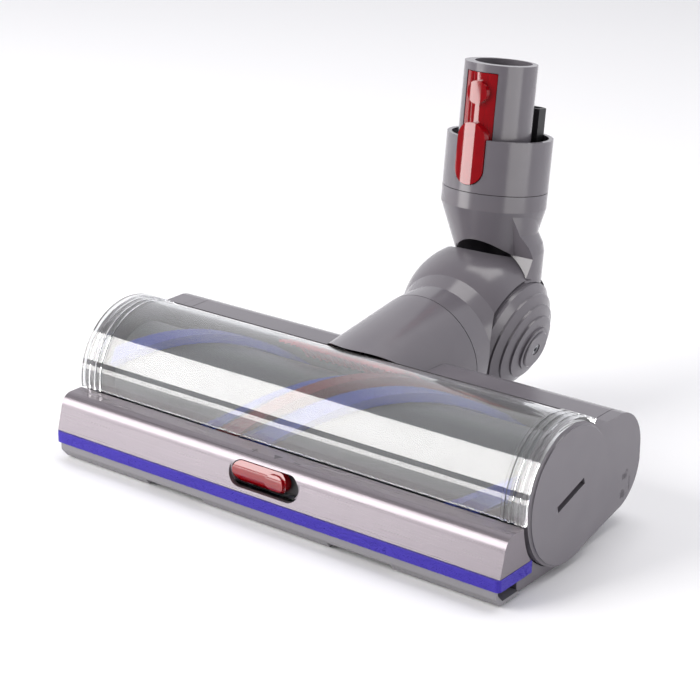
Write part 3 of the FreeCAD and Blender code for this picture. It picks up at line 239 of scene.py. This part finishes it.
nose_metal, tree, shader, place = new_finish("metallised_abs_satin_brushed")
stretch = add_node(tree, "ShaderNodeMapping", {
    "Vector": place, "Scale": (1 / (60 * MM), 1 / (0.25 * MM), 1 / (0.25 * MM))})
streaks = add_node(tree, "ShaderNodeTexNoise", {
    "Vector": stretch.outputs["Vector"], "Scale": 1.0, "Detail": 3.0, "Roughness": 0.6})
tone = add_node(tree, "ShaderNodeMix", {
    "Factor": streaks.outputs["Fac"], "A": linear("7d777d"), "B": linear("928b91")},
    data_type="RGBA")
satin = add_node(tree, "ShaderNodeMapRange", {
    "Value": streaks.outputs["Fac"], "From Min": 0.3, "From Max": 0.7,
    "To Min": 0.26, "To Max": 0.36})
skin = add_node(tree, "ShaderNodeBump", {
    "Height": streaks.outputs["Fac"], "Strength": 0.15, "Distance": 0.02 * MM})
tree.links.new(tone.outputs["Result"], shader.inputs["Base Color"])
tree.links.new(satin.outputs["Result"], shader.inputs["Roughness"])
tree.links.new(skin.outputs["Normal"], shader.inputs["Normal"])
shader.inputs["Metallic"].default_value = 0.75
dress(nose_metal, "nose_bar")


# The slider knob and the release lever
# Crimson tinted polycarbonate, polished. Their faces are crowned, the knob's about
# the bar's length and the lever's about the tube, so a softbox shows in them as a
# band with dark sides.

gloss_red, tree, shader, place = new_finish("moulded_polycarbonate_crimson")
depth = add_node(tree, "ShaderNodeTexNoise", {
    "Vector": place, "Scale": 1 / (5 * MM), "Detail": 1.0})
tone = add_node(tree, "ShaderNodeMix", {
    "Factor": depth.outputs["Fac"], "A": linear("7c0009"), "B": linear("90040f")},
    data_type="RGBA")
tree.links.new(tone.outputs["Result"], shader.inputs["Base Color"])
shader.inputs["Roughness"].default_value = 0.06
shader.inputs["IOR"].default_value = 1.58
shader.inputs["Coat Weight"].default_value = 0.6
shader.inputs["Coat Roughness"].default_value = 0.03
dress(gloss_red, "slider_knob", "latch_lever")
CROWN_CUTS = 28
WELD = 0.001 * MM
ON_PLANE = 0.0001 * MM
FLAT_WITHIN = math.radians(0.5)
FACING = 0.97
KNOB_CROWN = 6.5 * MM
LEVER_CROWN = 26 * MM


def crowned(name, node, body, across, out, radius):
    """A copy of a flat-faced node whose outward faces fall away on both sides."""
    across, out = Vector(across), Vector(out).normalized()
    shape = bmesh.new()
    shape.from_mesh(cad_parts[node].data)
    bmesh.ops.remove_doubles(shape, verts=shape.verts, dist=WELD)
    bmesh.ops.dissolve_limit(shape, angle_limit=FLAT_WITHIN, verts=shape.verts,
                             edges=shape.edges)
    reach = [vert.co.dot(across) for vert in shape.verts]
    low, high = min(reach), max(reach)
    for cut in range(1, CROWN_CUTS):
        bmesh.ops.bisect_plane(
            shape, geom=shape.verts[:] + shape.edges[:] + shape.faces[:], dist=ON_PLANE,
            plane_co=across * (low + (high - low) * cut / CROWN_CUTS), plane_no=across)
    shape.normal_update()
    faced = {vert for face in shape.faces if face.normal.dot(out) > FACING for vert in face.verts}
    for vert in faced:
        vert.co -= out * (vert.co.dot(across) - (low + high) / 2) ** 2 / (2 * radius)
    mesh = bpy.data.meshes.new(name)
    shape.to_mesh(mesh)
    shape.free()
    mesh.shade_flat()
    made = bpy.data.objects.new(name, mesh)
    bpy.context.scene.collection.objects.link(made)
    mesh.materials.clear()
    mesh.materials.append(gloss_red)
    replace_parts(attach(made, body), node)


crowned("crowned_knob", "slider_knob", "slider", (0, 0, 1), (0, -1, 0), KNOB_CROWN)
crowned("crowned_lever", "latch_lever", "latch", (1, 0, 0), (0, -0.9921, 0.1253), LEVER_CROWN)


# The dark mouldings
# Black glass-filled nylon with a fine satin grain: the slider's tray, the sleeve,
# the connector, the brush's end pieces, the gearbox and the wheels.

dark_plastic, tree, shader, place = new_finish("moulded_nylon_black")
grain = add_node(tree, "ShaderNodeTexNoise", {
    "Vector": place, "Scale": 1 / (0.5 * MM), "Detail": 3.0})
tone = add_node(tree, "ShaderNodeMix", {
    "Factor": grain.outputs["Fac"], "A": linear("1d1d1f"), "B": linear("2a2a2d")},
    data_type="RGBA")
skin = add_node(tree, "ShaderNodeBump", {
    "Height": grain.outputs["Fac"], "Strength": 0.2, "Distance": 0.03 * MM})
tree.links.new(tone.outputs["Result"], shader.inputs["Base Color"])
tree.links.new(skin.outputs["Normal"], shader.inputs["Normal"])
shader.inputs["Roughness"].default_value = 0.42
dress(dark_plastic, "slider_tray", "swivel_sleeve", "connector_block", "brush_end_plug",
      "drive_dog", "gearbox", "rear_wheel_right", "rear_wheel_left", "front_roller_right",
      "front_roller_left")


# The window
# Clear polycarbonate, polished in the tool, with stepped ribs at both ends. It is
# very slightly hazy and wavy, so its long reflections waver.

clear, tree, shader, place = new_finish("moulded_polycarbonate_clear")
flow = add_node(tree, "ShaderNodeTexNoise", {
    "Vector": place, "Scale": 1 / (25 * MM), "Detail": 1.0})
skin = add_node(tree, "ShaderNodeBump", {
    "Height": flow.outputs["Fac"], "Strength": 0.1, "Distance": 0.05 * MM})
tree.links.new(skin.outputs["Normal"], shader.inputs["Normal"])
shader.inputs["Base Color"].default_value = linear("fbfcfd")
shader.inputs["Roughness"].default_value = 0.015
shader.inputs["IOR"].default_value = 1.58
shader.inputs["Transmission Weight"].default_value = 0.93
dress(clear, "clear_window")


# The brush bar
# A dark grey extruded tube with a satin skin, which carries the rows of pile and
# shows between them.

core_grey, tree, shader, place = new_finish("extruded_core_dark_grey")
grain = add_node(tree, "ShaderNodeTexNoise", {
    "Vector": place, "Scale": 1 / (0.8 * MM), "Detail": 3.0})
tone = add_node(tree, "ShaderNodeMix", {
    "Factor": grain.outputs["Fac"], "A": linear("505357"), "B": linear("5c5f64")},
    data_type="RGBA")
tree.links.new(tone.outputs["Result"], shader.inputs["Base Color"])
shader.inputs["Roughness"].default_value = 0.4
dress(core_grey, "brush_core")


# The pile of the brush
# Nylon fibres in tufts set so close that they make solid rows, three blue and one
# dark red. Tapered fibres stand all over each row and lean every way a little.

def standing_fibres(name, node, body, finish, density, length, thickness, lean, seed):
    """Tapered fibres all over a node's surface, as one plain mesh that rides on a body."""
    tree = bpy.data.node_groups.new(name, "GeometryNodeTree")
    tree.interface.new_socket("Ground", in_out="INPUT", socket_type="NodeSocketGeometry")
    for label, value in (("Density", density), ("Length", length),
                         ("Thickness", thickness), ("Lean", lean)):
        entry = tree.interface.new_socket(label, in_out="INPUT", socket_type="NodeSocketFloat")
        entry.default_value = value
    tree.interface.new_socket("Fibres", in_out="OUTPUT", socket_type="NodeSocketGeometry")
    given = add_node(tree, "NodeGroupInput").outputs
    spots = add_node(tree, "GeometryNodeDistributePointsOnFaces", {
        "Mesh": given["Ground"], "Density": given["Density"], "Seed": seed})
    fibre = add_node(tree, "GeometryNodeMeshCone", {
        "Vertices": 3, "Radius Top": 0.0, "Radius Bottom": given["Thickness"],
        "Depth": given["Length"]}, fill_type="NONE")
    other_way = add_node(tree, "ShaderNodeMath", {0: given["Lean"], 1: -1.0},
                         operation="MULTIPLY")
    stray = add_node(tree, "FunctionNodeRandomValue", {
        "Min": other_way.outputs["Value"], "Max": given["Lean"], "Seed": seed + 1},
        data_type="FLOAT_VECTOR")
    aim = add_node(tree, "ShaderNodeVectorMath", {
        0: spots.outputs["Normal"], 1: stray.outputs["Value"]}, operation="ADD")
    turned = add_node(tree, "FunctionNodeAlignRotationToVector", {
        "Vector": aim.outputs["Vector"]}, axis="Z")
    uneven = add_node(tree, "FunctionNodeRandomValue", {
        2: 0.7, 3: 1.15, "Seed": seed + 2}, data_type="FLOAT")
    stood = add_node(tree, "GeometryNodeInstanceOnPoints", {
        "Points": spots.outputs["Points"], "Instance": fibre.outputs["Mesh"],
        "Rotation": turned.outputs["Rotation"], "Scale": uneven.outputs[1]})
    plain = add_node(tree, "GeometryNodeRealizeInstances", {
        "Geometry": stood.outputs["Instances"]})
    coated = add_node(tree, "GeometryNodeSetMaterial", {
        "Geometry": plain.outputs["Geometry"], "Material": finish})
    add_node(tree, "NodeGroupOutput", {"Fibres": coated.outputs["Geometry"]})
    ground = bpy.data.objects.new(name + "_ground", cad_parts[node].data)
    bpy.context.scene.collection.objects.link(ground)
    ground.modifiers.new("fibres", "NODES").node_group = tree
    evaluated = bpy.context.evaluated_depsgraph_get()
    mesh = bpy.data.meshes.new_from_object(ground.evaluated_get(evaluated), depsgraph=evaluated)
    bpy.data.objects.remove(ground)
    made = bpy.data.objects.new(name, mesh)
    bpy.context.scene.collection.objects.link(made)
    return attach(made, body)


PILE_LENGTH = 0.9 * MM
PILE_THICKNESS = 0.09 * MM
PILE_DENSITY = 2.0 / MM ** 2
PILE_LEAN = 0.45
for label, low, high, strips in (
        ("blue", "2a3a9c", "4658bc", ("blue_strip_1", "blue_strip_2", "blue_strip_3")),
        ("red", "5a1420", "98283a", ("red_strip",))):
    pile, tree, shader, place = new_finish(f"nylon_pile_{label}")
    grain = add_node(tree, "ShaderNodeTexNoise", {
        "Vector": place, "Scale": 1 / (0.5 * MM), "Detail": 3.0})
    tone = add_node(tree, "ShaderNodeMix", {
        "Factor": grain.outputs["Fac"], "A": linear(low), "B": linear(high)},
        data_type="RGBA")
    tree.links.new(tone.outputs["Result"], shader.inputs["Base Color"])
    shader.inputs["Roughness"].default_value = 0.8
    shader.inputs["Sheen Weight"].default_value = 0.3
    dress(pile, *strips)
    for count, strip in enumerate(strips):
        standing_fibres(strip + "_pile", strip, "brush", pile, PILE_DENSITY,
                                PILE_LENGTH, PILE_THICKNESS, PILE_LEAN, 10 * count + 3)


# The felt strip
# Short-pile wool felt in a strong violet blue, glued along the front edge, with
# its fibres standing off the face and the edges.

felt, tree, shader, place = new_finish("wool_felt_violet_blue")
grain = add_node(tree, "ShaderNodeTexNoise", {
    "Vector": place, "Scale": 1 / (0.4 * MM), "Detail": 3.0})
tone = add_node(tree, "ShaderNodeMix", {
    "Factor": grain.outputs["Fac"], "A": linear("2a1a90"), "B": linear("3f2cb4")},
    data_type="RGBA")
tree.links.new(tone.outputs["Result"], shader.inputs["Base Color"])
shader.inputs["Roughness"].default_value = 0.95
shader.inputs["Sheen Weight"].default_value = 0.3
dress(felt, "front_felt_strip")
FELT_LENGTH = 0.55 * MM
FELT_THICKNESS = 0.07 * MM
FELT_DENSITY = 4.0 / MM ** 2
FELT_LEAN = 0.6
FELT_SEED = 41
standing_fibres("felt_fibres", "front_felt_strip", "head", felt, FELT_DENSITY,
                        FELT_LENGTH, FELT_THICKNESS, FELT_LEAN, FELT_SEED)


# The signs
# A plus, a pointer and a minus over the slider, and the two padlocks with their
# mark on the right-hand end, all pad-printed in one dark ink as thin raised films.

ink, tree, shader, place = new_finish("pad_printed_ink")
wear = add_node(tree, "ShaderNodeTexNoise", {
    "Vector": place, "Scale": 1 / (0.3 * MM), "Detail": 2.0})
tone = add_node(tree, "ShaderNodeMix", {
    "Factor": wear.outputs["Fac"], "A": linear("454147"), "B": linear("57535a")},
    data_type="RGBA")
tree.links.new(tone.outputs["Result"], shader.inputs["Base Color"])
shader.inputs["Roughness"].default_value = 0.5
INK_FILM = 0.04 * MM
INK_LIFT = 0.005 * MM
ARCH_STEPS = 8


def film(name, centre, across, along, outlines, body):
    """Closed flat outlines, in mm about a centre, raised into one thin film of ink."""
    across, along = Vector(across), Vector(along)
    out = across.cross(along)
    shape = bmesh.new()
    for outline in outlines:
        rings = [[shape.verts.new(Vector(centre) + (across * u + along * v) * MM + out * lift)
                  for u, v in outline] for lift in (INK_LIFT, INK_LIFT + INK_FILM)]
        shape.faces.new(rings[0][::-1])
        shape.faces.new(rings[1])
        for low, low_next, high, high_next in zip(
                rings[0], rings[0][1:] + rings[0][:1], rings[1], rings[1][1:] + rings[1][:1]):
            shape.faces.new((low, low_next, high_next, high))
    mesh = bpy.data.meshes.new(name)
    shape.to_mesh(mesh)
    shape.free()
    mesh.materials.append(ink)
    made = bpy.data.objects.new(name, mesh)
    bpy.context.scene.collection.objects.link(made)
    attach(made, body)


def bar(u, v, wide, high):
    """The outline of an upright rectangle about a point."""
    return [(u - wide / 2, v - high / 2), (u + wide / 2, v - high / 2),
            (u + wide / 2, v + high / 2), (u - wide / 2, v + high / 2)]


def shackle(u, v, radius, line):
    """The outline of a padlock's arch, whose foot centres on a point."""
    turns = [math.pi * step / ARCH_STEPS for step in range(ARCH_STEPS + 1)]
    outer = [(u + radius * math.cos(a), v + radius * math.sin(a)) for a in turns]
    inner = [(u + (radius - line) * math.cos(a), v + (radius - line) * math.sin(a))
             for a in reversed(turns)]
    return outer + inner


SIGN_LINE = 0.5
SIGN_ROW = -91.8 * MM
nose_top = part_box("nose_bar")[1].z
film("sign_plus", (-7.8 * MM, SIGN_ROW, nose_top), (1, 0, 0), (0, 1, 0),
     [bar(0, 0, 3.4, SIGN_LINE), bar(0, 1.0, SIGN_LINE, 1.45), bar(0, -1.0, SIGN_LINE, 1.45)],
     "head")
film("sign_pointer", (4.5 * MM, SIGN_ROW, nose_top), (1, 0, 0), (0, 1, 0),
     [[(0, -1.7), (2.4, 1.5), (-2.4, 1.5)]], "head")
film("sign_minus", (15.7 * MM, SIGN_ROW, nose_top), (1, 0, 0), (0, 1, 0),
     [bar(0, 0, 3.6, SIGN_LINE)], "head")
END_FACE = 123.7 * MM
LOCK_RADIUS = 1.15
LOCK_CASE = (3.4, 2.4)
LOCK_CASE_DROP = -1.0
film("sign_unlocked", (END_FACE, -1.0 * MM, 23.6 * MM), (0, 1, 0), (0, 0, 1),
     [bar(0, LOCK_CASE_DROP, *LOCK_CASE), shackle(1.9, 0.45, LOCK_RADIUS, SIGN_LINE)], "head")
film("sign_locked", (END_FACE, -2.3 * MM, 15.2 * MM), (0, 1, 0), (0, 0, 1),
     [bar(0, LOCK_CASE_DROP, *LOCK_CASE), shackle(0, 0.3, LOCK_RADIUS, SIGN_LINE)], "head")
film("sign_lock_mark", (END_FACE, 3.1 * MM, 18.2 * MM), (0, 1, 0), (0, 0, 1),
     [bar(0, 0, SIGN_LINE, 6.5)], "head")


# The steel pieces
# Motor can, hub screw, latch pin and spring, axles and sole screws in bare steel,
# whose polish is a little uneven.

steel, tree, shader, place = new_finish("turned_steel")
grain = add_node(tree, "ShaderNodeTexNoise", {
    "Vector": place, "Scale": 1 / (0.4 * MM), "Detail": 2.0})
satin = add_node(tree, "ShaderNodeMapRange", {
    "Value": grain.outputs["Fac"], "To Min": 0.25, "To Max": 0.4})
tree.links.new(satin.outputs["Result"], shader.inputs["Roughness"])
shader.inputs["Base Color"].default_value = linear("b4b5b9")
shader.inputs["Metallic"].default_value = 1.0
dress(steel, "brush_motor", "hub_screw", "latch_pin", "latch_spring", "wheel_axles", "sole_screws")


# The contact pins
# Two of them in stamped brass, held by the connector block at the back of the
# tube.

brass, tree, shader, place = new_finish("stamped_brass")
grain = add_node(tree, "ShaderNodeTexNoise", {
    "Vector": place, "Scale": 1 / (0.4 * MM), "Detail": 2.0})
satin = add_node(tree, "ShaderNodeMapRange", {
    "Value": grain.outputs["Fac"], "To Min": 0.2, "To Max": 0.35})
tree.links.new(satin.outputs["Result"], shader.inputs["Roughness"])
shader.inputs["Base Color"].default_value = linear("d8b45e")
shader.inputs["Metallic"].default_value = 1.0
dress(brass, "contact_pins")


# The hose and the end seal
# Black moulded rubber with a fine matt skin. The hose carries the air through the ball.

rubber, tree, shader, place = new_finish("moulded_rubber_black")
grain = add_node(tree, "ShaderNodeTexNoise", {
    "Vector": place, "Scale": 1 / (0.5 * MM), "Detail": 2.0})
skin = add_node(tree, "ShaderNodeBump", {
    "Height": grain.outputs["Fac"], "Strength": 0.2, "Distance": 0.03 * MM})
tree.links.new(skin.outputs["Normal"], shader.inputs["Normal"])
shader.inputs["Base Color"].default_value = linear("161617")
shader.inputs["Roughness"].default_value = 0.6
dress(rubber, "flex_hose", "end_seal")


# The comb
# A row of teeth in tinted polycarbonate behind the brush, which pulls hair off it.
# The ends of the teeth reach forward under the window and taper to their tips.

comb_red, tree, shader, place = new_finish("moulded_polycarbonate_comb_red")
grain = add_node(tree, "ShaderNodeTexNoise", {
    "Vector": place, "Scale": 1 / (2 * MM), "Detail": 2.0})
tone = add_node(tree, "ShaderNodeMix", {
    "Factor": grain.outputs["Fac"], "A": linear("e0303a"), "B": linear("f04a50")},
    data_type="RGBA")
tree.links.new(tone.outputs["Result"], shader.inputs["Base Color"])
shader.inputs["Roughness"].default_value = 0.35
dress(comb_red, "hair_comb")
TOOTH_RADIUS = 29.4 * MM
TOOTH_HEIGHT = 1.0 * MM
TOOTH_WIDTH = 1.5 * MM
TOOTH_PITCH = 3.3 * MM
TOOTH_STEPS = 10
TOOTH_FRONT = 6
TOOTH_SWEEP = 36
TOOTH_TIP = 0.3
TOOTH_TAPER = 3
comb_low, comb_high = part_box("hair_comb")
teeth = bmesh.new()
tooth_x = comb_low.x + TOOTH_WIDTH
while tooth_x < comb_high.x - TOOTH_WIDTH:
    rings = []
    for step in range(TOOTH_STEPS + 1):
        angle = math.radians(TOOTH_FRONT + TOOTH_SWEEP * step / TOOTH_STEPS)
        back_and_up = Vector((0, math.sin(angle), math.cos(angle)))
        taper = TOOTH_TIP + (1 - TOOTH_TIP) * min(1, TOOTH_TAPER * step / TOOTH_STEPS)
        rings.append([teeth.verts.new(
            Vector((tooth_x + side * taper, axle.y, axle.z)) + back_and_up * reach)
            for side, reach in ((-TOOTH_WIDTH / 2, TOOTH_RADIUS),
                                (TOOTH_WIDTH / 2, TOOTH_RADIUS),
                                (0.0, TOOTH_RADIUS + TOOTH_HEIGHT))])
    teeth.faces.new(rings[0])
    teeth.faces.new(rings[-1][::-1])
    for near, far in zip(rings, rings[1:]):
        for one in range(3):
            two = (one + 1) % 3
            teeth.faces.new((near[two], near[one], far[one], far[two]))
    tooth_x += TOOTH_PITCH
bmesh.ops.recalc_face_normals(teeth, faces=teeth.faces)
teeth_mesh = bpy.data.meshes.new("comb_teeth")
teeth.to_mesh(teeth_mesh)
teeth.free()
teeth_mesh.materials.append(comb_red)
comb_teeth = bpy.data.objects.new("comb_teeth", teeth_mesh)
bpy.context.scene.collection.objects.link(comb_teeth)
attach(comb_teeth, "head")


# The control board
# Glass-fibre laminate with a green resist, inside the housing where nothing of it
# shows from outside.

board_green, tree, shader, place = new_finish("printed_board_green")
grain = add_node(tree, "ShaderNodeTexNoise", {
    "Vector": place, "Scale": 1 / (2 * MM), "Detail": 2.0})
tone = add_node(tree, "ShaderNodeMix", {
    "Factor": grain.outputs["Fac"], "A": linear("0c4a2a"), "B": linear("125c36")},
    data_type="RGBA")
tree.links.new(tone.outputs["Result"], shader.inputs["Base Color"])
shader.inputs["Roughness"].default_value = 0.4
dress(board_green, "control_board")
